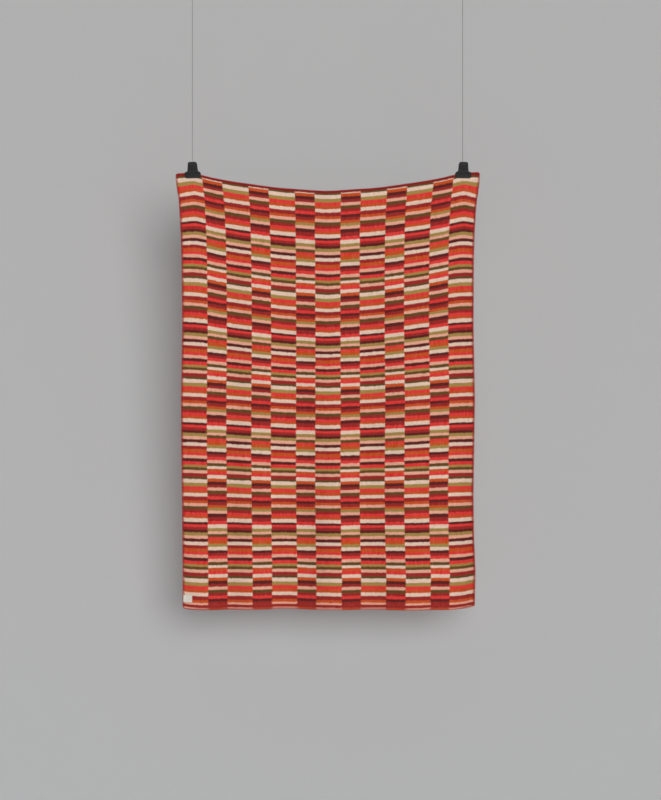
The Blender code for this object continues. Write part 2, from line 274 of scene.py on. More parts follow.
# Stripes of each kind of column, downwards: yarn and how many picks tall
PICK = 2.2 * MM
WIDE_CHART = (
    ("scarlet", 5), ("crimson", 5), ("burgundy", 5), ("olive", 6), ("salmon", 6), ("burgundy", 6),
    ("cream", 6), ("crimson", 6), ("orange", 7), ("scarlet", 5), ("salmon", 6), ("burgundy", 6),
    ("scarlet", 6), ("olive", 5), ("bark", 5), ("salmon", 6), ("crimson", 6), ("bark", 5), ("cream", 7),
    ("olive", 7), ("scarlet", 6), ("orange", 6), ("cream", 7), ("crimson", 7), ("orange", 5),
    ("salmon", 6), ("bark", 6), ("crimson", 6), ("scarlet", 6), ("orange", 5), ("cream", 7),
    ("burgundy", 5),
)
NARROW_CHART = (
    ("cream", 7), ("olive", 6), ("salmon", 5), ("bark", 6), ("scarlet", 5), ("orange", 7), ("olive", 6),
    ("cream", 7), ("burgundy", 5), ("crimson", 5), ("scarlet", 6), ("salmon", 6), ("bark", 6),
    ("cream", 5), ("orange", 5), ("scarlet", 7), ("cream", 6), ("orange", 6), ("burgundy", 6),
    ("crimson", 5), ("salmon", 6), ("bark", 6), ("crimson", 5), ("scarlet", 6), ("burgundy", 5),
    ("crimson", 6), ("orange", 5), ("olive", 5), ("salmon", 6), ("burgundy", 7), ("crimson", 7),
    ("scarlet", 7),
)
CHART_START = 99  # picks of the charts above the first stripe under the top band
WIDE_COLUMN = 112 * MM
NARROW_COLUMN = 86 * MM
TOP_BAND = 10 * MM
TOP_YARN = (0.250, 0.018, 0.015)  # of the top band, between its stitches
HEM_BANDS = (20 * MM, 8 * MM)  # the dark one and the light one under the stitches, from the hem
WARP_PITCH = 2.4 * MM
TWILL = 4  # ends over which a stripe's edge climbs by a step
# How far a column's edge strays sideways: by the pick, in slow waves, in single hairs
COLUMN_STRAY = (2.2 * MM, 5.0 * MM, 3.0 * MM)
# How far a stripe's edge strays up or down: in slow waves, by pairs of ends, by the twill's step
STRIPE_STRAY = (2.6 * MM, 4.5 * MM, 3.2 * MM)
STRIPE_HAIRS = (3.4 * MM, 2.2 * MM)  # of brushed hairs that stand upright, and of fuzz
# Unevenness of the wool: how fine across and down, per metre, then offset, detail and roughness
WOOL_NOISES = (
    ("wander", 9.0, 38.0, 0.0, 2.0, 0.5),
    ("drift", 16.0, 9.0, 4.0, 3.0, 0.5),
    ("streak", 26.0, 430.0, 0.0, 3.0, 0.6),
    ("upright", 330.0, 24.0, 2.0, 3.0, 0.6),
    ("fuzz", 900.0, 900.0, 7.0, 3.0, 0.65),
    ("cloud", 7.0, 7.0, 9.0, 2.0, 0.5),
    ("mottle", 150.0, 110.0, 11.0, 1.0, 0.5),
)

# Clips, in mm from the barrel's axis
CLIP_TILT = {-1: math.radians(-1.8), 1: math.radians(1.3)}
CLIP_SHIFT = {-1: 1.5 * MM, 1: 2.5 * MM}
BARREL_Z = EDGE_TOP_Z + 8.5 * MM
LEVER_TOP = 35.9
LEVER_HALF_TOP = 19.0
LEVER_HALF_FOOT = 22.2
LEVER_CORNER = 7.5
SHOULDER = -3.6
JAW_HALF = 34.2
JAW_SHOULDER = 10.5
JAW_FOOT = -30.6
JAW_CORNER = 6.5
CORNER_STEPS = 6
PLATE_COLUMNS = 12
PLATE_THICK = 1
LIP_RADIUS = 0.9
LIP_STEPS = 5
PANEL_FOOT = 1
PANEL_TOP = 29
PANEL_RIM = 0.8
PANEL_RISE = 0.35
# Side view of a plate: height, distance of its middle from the clip's plane
PLATE_BEND = (
    (LEVER_TOP, 15.5),
    (22.0, 12.4),
    (10.0, 9.3),
    (4.0, 8.1),
    (SHOULDER, 7.3),
    (-8.0, 6.3),
    (-14.0, 4.6),
    (-21.0, 3.0),
    (-26.0, 2.3),
    (JAW_FOOT, 2.3),
)
BARREL_RADIUS = 5.0
BARREL_HALF = 19.6
SPRING_WIRE = 1.1
SPRING_PITCH = SPRING_WIRE * 1.06
SPRING_STEPS = 14  # points in a turn
SPRING_LEG = (0.0, -1.0, 11.0)  # run of each end, up behind the front lever
PIN_RADIUS = 1.6
PIN_HEAD_RADIUS = 2.6
PIN_HEAD = ((0.0, PIN_HEAD_RADIUS / PIN_RADIUS), (0.45, 1.0), (0.35, 0.72))  # steps out, widening
CHEEK_RADIUS = 4.2
CHEEK_THICK = 1.0
CHEEK_X = {"front": 21.2, "back": 19.9}

# Wires and fittings
WIRE_THICK = 1.5
WIRE_DIAMETER = WIRE_THICK * MM
WIRE_POINTS = 24
STRANDS = 6
STRAND_PITCH = 1.5 * MM
LOOP_RADIUS = BARREL_RADIUS + GAP + WIRE_THICK / 2
LOOP_POINTS = 40
LOOP_NECK = 0.95
SLEEVE_FOOT = {-1: 26.4, 1: 21.0}
SLEEVE_LONG = 11.5
SLEEVE_HALF = (2.0, 2.6)
CRIMPS = (0.3, 0.7)  # shares of the sleeve's length
CRIMP_CUTS = (-1.0, -0.5, 0.5, 1.0)  # heights about its middle
CRIMP_SQUEEZE = (0.80, 1.04, 1)
FITTING_PROFILE = (
    (0.0, 13.7),
    (0.3, 14.0),
    (3.2, 14.0),
    (3.8, 13.4),
    (4.0, 12.4),
    (4.2, 7.4),
    (5.0, 6.5),
    (8.0, 6.5),
    (8.4, 6.1),
    (9.0, 6.5),
    (19.0, 6.5),
    (19.6, 6.1),
    (20.0, 6.5),
    (22.0, 6.3),
    (26.0, 4.7),
    (29.4, 3.1),
    (30.0, 2.4),
)
FITTING_SIDES = 48
KNURL_MIDDLE = 14.0
KNURL_RIM = 0.12
KNURL_DEPTH = 0.3


class Value:
    """A socket in a finish's node tree. An expression on it adds Math nodes."""

    def __init__(self, finish, socket):
        self.finish = finish
        self.socket = socket

    def math(self, operation, *others):
        return self.finish.node("Math", dict(enumerate((self, *others))), operation=operation)

    def __add__(self, other):
        return self.math("ADD", other)

    def __sub__(self, other):
        return self.math("SUBTRACT", other)

    def __rsub__(self, other):
        return self.finish.node("Math", {0: other, 1: self}, operation="SUBTRACT")

    def __mul__(self, other):
        return self.math("MULTIPLY", other)

    def __truediv__(self, other):
        return self.math("DIVIDE", other)

    def __lt__(self, other):
        return self.math("LESS_THAN", other)

    def __gt__(self, other):
        return self.math("GREATER_THAN", other)

    def __abs__(self):
        return self.math("ABSOLUTE")

    __radd__ = __add__
    __rmul__ = __mul__


class Finish:
    """One material with its Principled shader, and the nodes that feed it."""

    def __init__(self, name, **fixed):
        self.material = bpy.data.materials.new(name)
        self.material.use_nodes = True
        self.tree = self.material.node_tree
        self.shader = self.tree.nodes["Principled BSDF"]
        for socket, value in fixed.items():
            self.shader.inputs[socket.replace("_", " ")].default_value = value

    def node(self, kind, inputs=None, output=0, stops=None, **settings):
        """Adds a node: its settings first, then its sockets. Gives one of its outputs."""
        made = self.tree.nodes.new(f"ShaderNode{kind}")
        for setting, value in settings.items():
            setattr(made, setting, value)
        if stops:
            ramp = made.color_ramp
            ramp.interpolation = "CONSTANT"
            for place, colour in stops[2:]:
                ramp.elements.new(place)
            for element, (place, colour) in zip(ramp.elements, stops):
                element.position = place
                element.color = (*colour, 1.0)
        for where, value in (inputs or {}).items():
            if isinstance(value, Value):
                self.tree.links.new(value.socket, made.inputs[where])
            else:
                made.inputs[where].default_value = value
        return Value(self, made.outputs[output])

    def feed(self, socket, value):
        self.tree.links.new(value.socket, self.shader.inputs[socket])

    def mix(self, share, low, high):
        low, high = [(*side, 1.0) if isinstance(side, tuple) else side for side in (low, high)]
        return self.node("Mix", {0: share, 6: low, 7: high}, output=2, data_type="RGBA")

    def noise(self, where, scale, detail=2.0, roughness=0.5):
        return self.node(
            "TexNoise", {"Vector": where, "Scale": scale, "Detail": detail, "Roughness": roughness}
        )

    def patches(self, across, down, fine_across, fine_down, offset=0.0, detail=2.0, roughness=0.5):
        """Noise over a sheet, as fine across and down as the two numbers say."""
        where = self.join(across * fine_across, down * fine_down, offset)
        return self.noise(where, 1.0, detail, roughness)

    def object_place(self):
        return self.node("TexCoord", output="Object")

    def split(self, vector):
        return [self.node("SeparateXYZ", {0: vector}, output=axis) for axis in range(3)]

    def join(self, x, y, z=0.0):
        return self.node("CombineXYZ", {0: x, 1: y, 2: z})

    def relief(self, height, distance, strength=1.0):
        self.feed("Normal", self.node("Bump", {"Height": height, "Distance": distance, "Strength": strength}))


def chart_stops(chart):
    """Ramp stops of a column's stripes, each from its share of the repeat."""
    picks = np.cumsum([0] + [tall for _, tall in chart])
    return [(float(start / picks[-1]), YARNS[yarn]) for (yarn, _), start in zip(chart, picks)]


def chart_length(chart):
    return sum(tall for _, tall in chart) * PICK


def stripe_colour(finish, settled, wide):
    """Colour of the yarn on show at a distance down the cloth, in a wide column or a narrow one."""
    start = CHART_START * PICK - TOP_BAND
    place = ((settled + start) / chart_length(WIDE_CHART)).math("FRACT")
    wide_stripes, narrow_stripes = (
        finish.node("ValToRGB", {0: place}, stops=chart_stops(chart)) for chart in (WIDE_CHART, NARROW_CHART)
    )
    colour = finish.mix(wide, narrow_stripes, wide_stripes)
    dark, light = (settled > CUT_LENGTH - band for band in HEM_BANDS)
    colour = finish.mix(dark, colour, YARNS["crimson"])
    colour = finish.mix(settled < TOP_BAND, colour, TOP_YARN)
    return finish.mix(light, colour, finish.mix(wide, YARNS["orange"], YARNS["salmon"]))


def wool_finish(name, reverse):
    """Brushed double cloth. On the reverse each column shows the other kind's stripes."""
    finish = Finish(
        name, Roughness=0.92, Specular_IOR_Level=0.12,
        Sheen_Weight=0.06, Sheen_Roughness=0.6, Sheen_Tint=(1.0, 0.72, 0.62, 1.0),
    )
    u, v, _ = finish.split(finish.node("UVMap", uv_map="cloth"))
    across, down = u * CUT_WIDTH, v * CUT_LENGTH
    wander, drift, streak, upright, fuzz, cloud, mottle = (
        finish.patches(across, down, *row[1:]) for row in WOOL_NOISES
    )
    pick, warp = down / PICK, across / WARP_PITCH
    odd_pick = (pick / 2.0).math("FRACT") > 0.5
    step = (warp.math("FLOOR") / TWILL + odd_pick * 0.5).math("FRACT")
    ragged = finish.patches((warp / 2.0).math("FLOOR"), down, 0.73, 60.0, 5.0, 0.0)

    by_pick, by_wave, by_hair = COLUMN_STRAY
    stepped = across + (odd_pick - 0.5) * by_pick + (wander - 0.5) * by_wave + (fuzz - 0.5) * by_hair
    pair = WIDE_COLUMN + NARROW_COLUMN
    wide = (stepped / pair).math("FRACT") < WIDE_COLUMN / pair
    if reverse:
        wide = 1.0 - wide
    by_wave, by_ends, by_twill = STRIPE_STRAY
    hairy = (upright - 0.5) * STRIPE_HAIRS[0] + (fuzz - 0.5) * STRIPE_HAIRS[1]
    settled = down + (drift - 0.5) * by_wave + (ragged - 0.5) * by_ends + (step - 0.5) * by_twill + hairy
    colour = stripe_colour(finish, settled, wide)

    ridge = abs((pick * math.pi).math("SINE"))
    knot = abs(((warp + odd_pick * 0.5) * math.pi).math("SINE"))
    float_relief_and_shade = ridge * (0.45 + knot * 0.55)
    nap = streak * 0.34 + upright * 0.44 + fuzz * 0.24 + cloud * 0.10 + (mottle - 0.5) * 0.30
    # Painted shade: the value also darkens in the grooves between the picks and ends, following the floats'
    # relief; the nap noises are the wool's own uneven tone
    lift = 0.38 + float_relief_and_shade * 0.22 + nap
    colour = finish.node(
        "HueSaturation", {"Value": lift, "Saturation": 1.10 - upright * 0.20, "Color": colour}
    )
    finish.feed("Base Color", colour)
    finish.relief(float_relief_and_shade + fuzz * 0.9 + upright * 0.7, 0.7 * MM, 0.9)
    finish.feed("Roughness", 0.86 + streak * 0.12)
    return finish.material


def yarn_finish():
    """Red overcast yarn, two plies twisted."""
    finish = Finish(
        "stitch_yarn", Roughness=0.9, Specular_IOR_Level=0.2, Sheen_Weight=0.06, Sheen_Roughness=0.6
    )
    u, v, _ = finish.split(finish.node("UVMap", uv_map="yarn"))
    twist_relief_and_shade = ((u * 2.0 + v * 7.0) * (2.0 * math.pi)).math("SINE") * 0.5 + 0.5
    place = finish.object_place()
    patch = finish.noise(place, 90.0, 3.0)
    hair = finish.noise(place, 1500.0, 2.0)
    colour = finish.mix(patch, (0.330, 0.016, 0.017), (0.640, 0.036, 0.034))
    # Painted shade: the value darkens in the grooves between the twisted plies, following the relief
    colour = finish.node("HueSaturation", {"Value": 0.62 + twist_relief_and_shade * 0.42 + hair * 0.2, "Color": colour})
    finish.feed("Base Color", colour)
    finish.relief(twist_relief_and_shade + hair * 0.6, 0.35 * MM, 0.8)
    return finish.material


def ribbon_finish():
    """Blank woven label ribbon, off-white, with a fine rib; painted shade darkens the rib's grooves and the
    edge where it is turned in.
    """
    finish = Finish("label_ribbon", Roughness=0.72, Specular_IOR_Level=0.3, Sheen_Weight=0.12)
    u, v, _ = finish.split(finish.node("UVMap", uv_map="ribbon"))
    rib = abs((v * (34.0 * math.pi)).math("SINE"))
    cord = abs((u * (58.0 * math.pi)).math("SINE"))
    weave_relief_and_shade = rib * 0.6 + cord * 0.4
    stain = finish.patches(u, v, 3.0, 3.0, detail=4.0)
    # Painted shade on the edge where the ribbon is turned in
    edge = (abs(u - 0.5) > 0.465).math("MAXIMUM", abs(v - 0.5) > 0.46)
    colour = finish.mix(stain, (0.86, 0.80, 0.70), (0.72, 0.67, 0.60))
    colour = finish.mix(edge * 0.35, colour, (0.50, 0.46, 0.42))
    # Painted shade: the value darkens in the grooves of the rib and cord, following the relief
    colour = finish.node("HueSaturation", {"Value": 0.88 + weave_relief_and_shade * 0.16, "Color": colour})
    finish.feed("Base Color", colour)
    finish.relief(weave_relief_and_shade, 0.12 * MM, 0.6)
    return finish.material


def thread_finish():
    """Pale sewing thread."""
    finish = Finish("sewing_thread", Roughness=0.6)
    shade = finish.noise(finish.object_place(), 1800.0, 2.0)
    finish.feed("Base Color", finish.mix(shade, (0.62, 0.58, 0.52), (0.88, 0.84, 0.78)))
    return finish.material


def coat_finish():
    """Matt black powder coat with a fine orange peel, a little dust, and rubbed high spots."""
    finish = Finish("clip_black", Metallic=0.0, Specular_IOR_Level=0.3)
    place = finish.object_place()
    peel = finish.noise(place, 1400.0, 3.0)
    dust = finish.noise(place, 160.0, 5.0, 0.65)
    rub = finish.noise(place, 420.0, 6.0, 0.7)
    worn = (rub - 0.66).math("MAXIMUM", 0.0) * 3.0
    colour = finish.mix(dust, (0.006, 0.006, 0.006), (0.016, 0.016, 0.015))
    colour = finish.mix(worn.math("MINIMUM", 1.0), colour, (0.055, 0.055, 0.054))
    finish.feed("Base Color", colour)
    finish.feed("Roughness", 0.42 + dust * 0.22)
    finish.relief(peel, 0.05 * MM, 0.5)
    return finish.material


def steel_finish(name, dark, light, rough, scratch_scale):
    """Bare metal with fine drawn scratches."""
    finish = Finish(name, Metallic=1.0)
    x, y, z = finish.split(finish.object_place())
    drawn = finish.noise(finish.join(x * 60.0, y * 60.0, z * scratch_scale), 1.0, 4.0)
    patch = finish.noise(finish.object_place(), 240.0, 3.0)
    finish.feed("Base Color", finish.mix(patch, dark, light))
    finish.feed("Roughness", rough + drawn * 0.18)
    finish.relief(drawn, 0.02 * MM, 0.4)
    return finish.material


def strand_finish():
    """Thin steel rope: its strands wind round each wire's own axis."""
    finish = Finish("wire_steel", Metallic=1.0)
    x, y, z = finish.split(finish.object_place())
    turn = y.math("ARCTAN2", abs(x) - CLIP_X)
    strands = (turn * STRANDS + z * (2.0 * math.pi / STRAND_PITCH)).math("SINE") * 0.5 + 0.5
    dull = finish.noise(finish.object_place(), 35.0, 3.0)
    # Painted shade: the colour is much darker in the grooves between the strands than on their crowns,
    # following the relief
    colour = finish.mix(strands, (0.012, 0.012, 0.012), (0.11, 0.11, 0.112))
    finish.feed("Base Color", colour)
    finish.feed("Roughness", 0.34 + dull * 0.2)
    finish.relief(strands, 0.14 * MM, 0.8)
    return finish.material


def column(table, number):
    return np.array([row[number] for row in table])


def smooth_step(value):
    value = np.clip(value, 0.0, 1.0)
    return value * value * (3 - 2 * value)


def read(table, place, number=1):
    """One column of a table whose first column rises, read at places."""
    return np.interp(place, column(table, 0), column(table, number))


def row_sag(x, down):
    """How far a row of the cloth hangs below its height at the clips."""
    inward = np.where(x > 0, read(PEAKS, down, 2), read(PEAKS, down, 1)) - np.abs(x)
    rounded = np.hypot(inward, read(PEAKS, down, 3))
    inside = np.minimum((rounded + inward) / 2 / CLIP_X, 1.0)
    outside = (rounded - inward) / 2
    slope = np.where(x > 0, read(OUTER_SLOPE, down, 2), read(OUTER_SLOPE, down, 1))
    return TOP_SAG * read(TOP_LINE, inside) * read(SAG_FADE, down) + slope * outside


def fold_depth(across, down, x):
    """How far the cloth lies behind the clips' plane."""
    depth = np.zeros_like(across)
    for top_across, hem_across, half_width, at_top, at_middle, at_hem in FOLDS:
        centre = top_across + (hem_across - top_across) * down
        reach = np.clip((across - centre) * CUT_WIDTH / half_width, -1, 1)
        upper = at_top + (at_middle - at_top) * smooth_step(down * 2)
        lower = (at_hem - at_middle) * smooth_step(down * 2 - 1)
        depth += (upper + lower) * np.cos(reach * math.pi / 2) ** 2
    grip = smooth_step((CLIP_X - 0.05 - np.abs(x)) / 0.15)
    return depth * np.maximum(grip, smooth_step((down - DEPTH_START) / 0.12))


def crease_depth(x, z):
    """The creases that run out from the clips, as soft ridges and troughs."""
    depth = np.zeros_like(x)
    for start_x, start_z, end_x, end_z, half_width, height in CREASES:
        run_x, run_z = end_x - start_x, end_z - start_z
        length = math.hypot(run_x, run_z)
        along = ((x - start_x) * run_x + (z - start_z) * run_z) / length**2
        aside = ((x - start_x) * run_z - (z - start_z) * run_x) / length
        width = half_width * (0.45 + 0.55 * np.clip(along, 0, 1))
        fade = smooth_step(along * 5) * smooth_step((1 - along) * 1.6)
        depth -= height * fade * np.exp(-((aside / width) ** 2) * 2)
    return depth


def side_edges(down):
    """The x of the left and the right edge, drawn in at the rounded corners."""
    reach = np.clip(1 - np.minimum(down, 1 - down) * CUT_LENGTH / CLOTH_CORNER, 0, 1)
    inset = CLOTH_CORNER * (1 - np.sqrt(1 - reach**2))
    return read(SIDES, down, 1) + inset, read(SIDES, down, 2) - inset


def cloth_at(across, down):
    """Points of the cloth's middle surface, for arrays of shares from 0 to 1."""
    across, down = np.broadcast_arrays(np.asarray(across, float), np.asarray(down, float))
    left, right = side_edges(down)
    x = left * (1 - across) + right * across
    z = EDGE_TOP_Z + (HEM_Z - EDGE_TOP_Z) * down - row_sag(x, down)
    z = z + read(HEM_LIFTS, across) * smooth_step(down * 3 - 2)
    y = fold_depth(across, down, x) + crease_depth(x, z)
    return np.stack([x, y, z], axis=-1)


def cloth_frame(across, down):
    """Point, direction across, direction down and outward face normal of the cloth."""
    step = 0.002
    here = cloth_at(across, down)
    side = cloth_at(np.minimum(across + step, 1), down) - cloth_at(np.maximum(across - step, 0), down)
    fall = cloth_at(across, np.minimum(down + step, 1)) - cloth_at(across, np.maximum(down - step, 0))
    side /= np.linalg.norm(side, axis=-1, keepdims=True)
    fall /= np.linalg.norm(fall, axis=-1, keepdims=True)
    facing = np.cross(fall, side)
    facing /= np.linalg.norm(facing, axis=-1, keepdims=True)
    facing = np.where(facing[..., 1:2] > 0, -facing, facing)
    return here, side, fall, facing


def new_object(name, data):
    """An object in the scene for a mesh, curve, camera or light."""
    made = bpy.data.objects.new(name, data)
    bpy.context.scene.collection.objects.link(made)
    return made


def piece_from(name, points, faces, finishes, uv_name, uv):
    """A mesh object from lists of points and faces, with one UV pair for each point."""
    mesh = bpy.data.meshes.new(name)
    mesh.from_pydata(np.reshape(points, (-1, 3)).tolist(), [], faces)
    for finish in finishes:
        mesh.materials.append(finish)
    layer = mesh.uv_layers.new(name=uv_name)
    corners = np.zeros(len(mesh.loops), np.int32)
    mesh.loops.foreach_get("vertex_index", corners)
    layer.data.foreach_set("uv", np.reshape(uv, (-1, 2))[corners].astype(np.float32).ravel())
    mesh.shade_smooth()
    return new_object(name, mesh)


def grid_faces(rows, columns):
    """Faces of a grid of points whose rows run downwards, seen from its front."""
    faces = []
    for row in range(rows - 1):
        for place in range(columns - 1):
            first = row * columns + place
            faces.append((first, first + columns, first + columns + 1, first + 1))
    return faces


def deselect():
    bpy.ops.object.select_all(action="DESELECT")


def make_active(item):
    deselect()
    item.select_set(True)
    bpy.context.view_layer.objects.active = item


def set_mode(mode):
    bpy.ops.object.mode_set(mode=mode)


def extrude(x, y, z):
    """Extrudes what is selected, and moves it by this many mm."""
    bpy.ops.mesh.extrude_region_move(TRANSFORM_OT_translate={"value": (x * MM, y * MM, z * MM)})


def widen(x, y, z):
    """Scales what is selected about the object's origin."""
    bpy.ops.transform.resize(value=(x, y, z), center_override=(0, 0, 0))


def join_to(main, other):
    make_active(main)
    other.select_set(True)
    bpy.ops.object.join()


def apply_modifier(item, kind, **settings):
    """Adds a modifier, sets it and applies it."""
    make_active(item)
    added = item.modifiers.new(kind.title(), kind)
    for setting, value in settings.items():
        setattr(added, setting, value)
    bpy.ops.object.modifier_apply(modifier=added.name)


def finish_piece(item, name, finish, replaced):
    """Names a piece, gives it a finish unless it has its own, ties it to its body, and hides the imported
    part it replaces.
    """
    item.name = name
    item.data.name = name
    if finish:
        item.data.materials.clear()
        item.data.materials.append(finish)
    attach(item, "root")
    if replaced:
        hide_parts(replaced)
    return item


def add_camera():
    camera = new_object("camera", bpy.data.cameras.new("camera"))
    camera.data.sensor_width = SENSOR
    camera.data.lens = SENSOR * CAMERA_DISTANCE / (PICTURE_TALL * PIXEL)
    camera.location = (PICTURE_MIDDLE[0], -CAMERA_DISTANCE, PICTURE_MIDDLE[1])
    camera.rotation_euler = (math.pi / 2, 0, 0)
    bpy.context.scene.camera = camera


def curve_along(name, lines, radius, resolution):
    """A round curve along each list of points, with its ends closed."""
    curve = bpy.data.curves.new(name, "CURVE")
    curve.dimensions = "3D"
    curve.bevel_depth = radius
    curve.bevel_resolution = resolution
    curve.use_fill_caps = True
    for line in lines:
        spline = curve.splines.new("POLY")
        spline.points.add(len(line) - 1)
        for point, place in zip(spline.points, line):
            point.co = (*place, 1)
    return new_object(name, curve)


def tube_mesh(name, lines, radius, resolution):
    """Tubes along lists of points, made as a curve and turned into one mesh."""
    make_active(curve_along(name, lines, radius, resolution))
    bpy.ops.object.convert(target="MESH")
    return bpy.context.active_object


def add_wire(word, side, finish):
    """The taut wire of one side, from its sleeve up to the ceiling fitting."""
    foot = BARREL_Z + (SLEEVE_FOOT[side] + SLEEVE_LONG + GAP) * MM
    head = -(FITTING_PROFILE[-1][0] + GAP) * MM
    line = [(side * CLIP_X, 0, height) for height in np.linspace(foot, head, WIRE_POINTS)]
    name = f"wire_{word}_strand"
    wire = curve_along(name, [line], WIRE_DIAMETER / 2, 3)
    finish_piece(wire, name, finish, f"wire_{word}")
    return wire, (side * CLIP_X, 0, foot), head - foot


def spread(count, length):
    """Shares from 0 to 1 along a side of the cloth, closer together near both ends."""
    ends = np.array(EDGE_STEPS) * MM / length
    inner = 2 * ends[-1] - ends[-2]
    return np.concatenate([ends, np.linspace(inner, 1 - inner, count), 1 - ends[::-1]])


def add_throw(finishes):
    """The cloth: a fine grid on the folds, thickened."""
    down = spread(CLOTH_ROWS, CUT_LENGTH)[:, None]
    across = spread(CLOTH_COLUMNS, CUT_WIDTH)[None, :]
    points = cloth_at(across, down)
    rough = [noise.noise(Vector(point) * 14.0) + 0.5 * noise.noise(Vector(point) * 41.0)
             for point in points.reshape(-1, 3)]
    loose = smooth_step((down - 0.03) * 12)
    points[..., 1] += np.reshape(rough, points.shape[:2]) * UNEVEN * loose
    uv = np.stack(np.broadcast_arrays(across, down), axis=-1)
    faces = grid_faces(down.size, across.size)
    cloth = piece_from("throw_cloth", points, faces, finishes, "cloth", uv)
    apply_modifier(
        cloth, "SOLIDIFY", thickness=CLOTH_THICK, offset=0.0, material_offset=1, use_even_offset=True
    )
    return finish_piece(cloth, "throw_cloth", None, "throw")


def edge_places(edge, pitch):
    """Shares across and down of the stitches along one edge."""
    long = CUT_WIDTH if edge in ("top", "hem") else CUT_LENGTH
    count = round(long / pitch)
    along = (np.arange(count) + 0.5) / count
    still = np.full(count, {"top": 0.0, "hem": 1.0, "left": 0.0, "right": 1.0}[edge])
    return (along, still) if edge in ("top", "hem") else (still, along)


def stitch_lines(edge, pitch, bite, radius):
    """Middle lines of the stitches along one edge, and each one's direction along it."""
    across, down = edge_places(edge, pitch)
    here, side, fall, facing = cloth_frame(across, down)
    along = side if edge in ("top", "hem") else fall
    outward = {"top": -fall, "hem": fall, "left": -side, "right": side}[edge]
    wobble = np.array([noise.noise(Vector(spot) * 160.0) for spot in here])[:, None]
    line = []
    for share_along, share_out, height, _ in STITCH_PATH:
        out = share_out * bite * (1 + 0.16 * wobble) if share_out < 0 else share_out * bite
        in_cloth = np.clip(height, -1, 1)
        rise = in_cloth * CLOTH_THICK / 2 + (height - in_cloth) * radius
        line.append(
            here
            + along * (share_along + 0.10 * wobble) * pitch
            + outward * (out + radius * 0.4)
            + facing * rise
        )
    return np.stack(line, axis=1), along


def yarn_rings(line, along, radius):
    """Rings of points round the stitches' middle lines, thinner where the yarn enters the cloth."""
    run = np.gradient(line, axis=1)
    run /= np.linalg.norm(run, axis=-1, keepdims=True)
    wide = np.broadcast_to(along[:, None, :], line.shape)
    wide = wide - run * (wide * run).sum(-1, keepdims=True)
    wide = wide / np.linalg.norm(wide, axis=-1, keepdims=True)
    tall = np.cross(run, wide)
    ring = (
        wide[:, :, None, :] * np.cos(STITCH_ANGLES)[None, None, :, None]
        + tall[:, :, None, :] * np.sin(STITCH_ANGLES)[None, None, :, None]
    )
    taper = column(STITCH_PATH, 3)[None, :, None, None]
    return (line[:, :, None, :] + ring * radius * taper).reshape(-1, 3)


def stitch_faces(first):
    """Faces of one stitch's tube and of its two ends, from the number of its first point."""
    faces = []
    last = first + STITCH_POINTS - STITCH_SIDES
    for low in range(first, last, STITCH_SIDES):
        for spot in range(STITCH_SIDES):
            after = (spot + 1) % STITCH_SIDES
            faces.append((low + spot, low + after, low + STITCH_SIDES + after, low + STITCH_SIDES + spot))
    faces.append(tuple(first + spot for spot in reversed(range(STITCH_SIDES))))
    faces.append(tuple(last + spot for spot in range(STITCH_SIDES)))
    return faces


def add_overcast(finish):
    """Red yarn whipped over all four edges, one small tube for each stitch."""
    points = np.concatenate([yarn_rings(*stitch_lines(*row), row[-1]) for row in OVERCAST])
    share = np.linspace(0, 1, len(STITCH_PATH))
    pair = np.stack(np.broadcast_arrays(STITCH_ANGLES[None, :] / (2 * math.pi), share[:, None]), axis=-1)
    uv = np.tile(pair.reshape(-1, 2), (len(points) // STITCH_POINTS, 1))
    faces = [face for first in range(0, len(points), STITCH_POINTS) for face in stitch_faces(first)]
    stitches = piece_from("edge_overcast", points, faces, [finish], "yarn", uv)
    return finish_piece(stitches, "edge_overcast", None, None)


def face_depth(x, z):
    """The y of the cloth's middle at a place seen from the front, near the foot of the throw."""
    down = (z - EDGE_TOP_Z) / (HEM_Z - EDGE_TOP_Z)
    left, right = side_edges(down)
    return cloth_at((x - left) / (right - left), down)[..., 1]


def label_at(u, v):
    """Points of the label's middle surface. v runs downwards."""
    flat_x, flat_z = (u - 0.5) * LABEL_WIDTH, (0.5 - v) * LABEL_HEIGHT
    x = LABEL_CENTRE[0] + flat_x * math.cos(LABEL_TILT) - flat_z * math.sin(LABEL_TILT)
    z = LABEL_CENTRE[1] + flat_x * math.sin(LABEL_TILT) + flat_z * math.cos(LABEL_TILT)
    lift = LABEL_OVER_EDGE * smooth_step((0.30 - u) / 0.16)
    rim = np.minimum.reduce([u, 1 - u, v, 1 - v])
    puff = 0.25 * MM * np.sin(u * 17 + 1) * np.sin(v * 13) * smooth_step(rim * 8)
    y = face_depth(x, z) - LABEL_STAND - lift + puff + 0.25 * MM * smooth_step(1 - rim * 14)
    return np.stack([x, y, z], axis=-1)


def add_label(ribbon, thread):
    """The blank label, and the small stitches that hold it."""
    u, v = np.meshgrid(np.linspace(0, 1, 34), np.linspace(0, 1, 28))
    faces = grid_faces(*u.shape)
    label = piece_from("label_woven", label_at(u, v), faces, [ribbon], "ribbon", np.stack([u, v], axis=-1))
    apply_modifier(label, "SOLIDIFY", thickness=LABEL_THICK, offset=0.0)
    apply_modifier(label, "BEVEL", width=0.2 * MM, segments=2, limit_method="ANGLE")
    finish_piece(label, "label_woven", None, "label")

    lines = []
    size = np.array([LABEL_WIDTH, LABEL_HEIGHT])
    corners = [np.array(spot) * size for spot in ((0, 0), (1, 0), (1, 1), (0, 1))]
    inset = [spot + np.sign(size / 2 - spot) * THREAD_INSET for spot in corners]
    for start, end in zip(inset, inset[1:] + inset[:1]):
        run = end - start
        long = math.hypot(*run)
        count = round(long / THREAD_PITCH)
        for number in range(count):
            middle = start + run * (number + 0.5) / count
            half = run / long * THREAD_LONG / 2
            spots = np.array([middle + half * share for share in column(THREAD_PATH, 0)]) / size
            line = label_at(spots[:, 0], spots[:, 1])
            line[:, 1] -= LABEL_THICK / 2 + column(THREAD_PATH, 1) * MM
            lines.append(line)
    stitches = tube_mesh("label_stitches", lines, THREAD_RADIUS, 1)
    finish_piece(stitches, "label_stitches", thread, None)
    return label, stitches


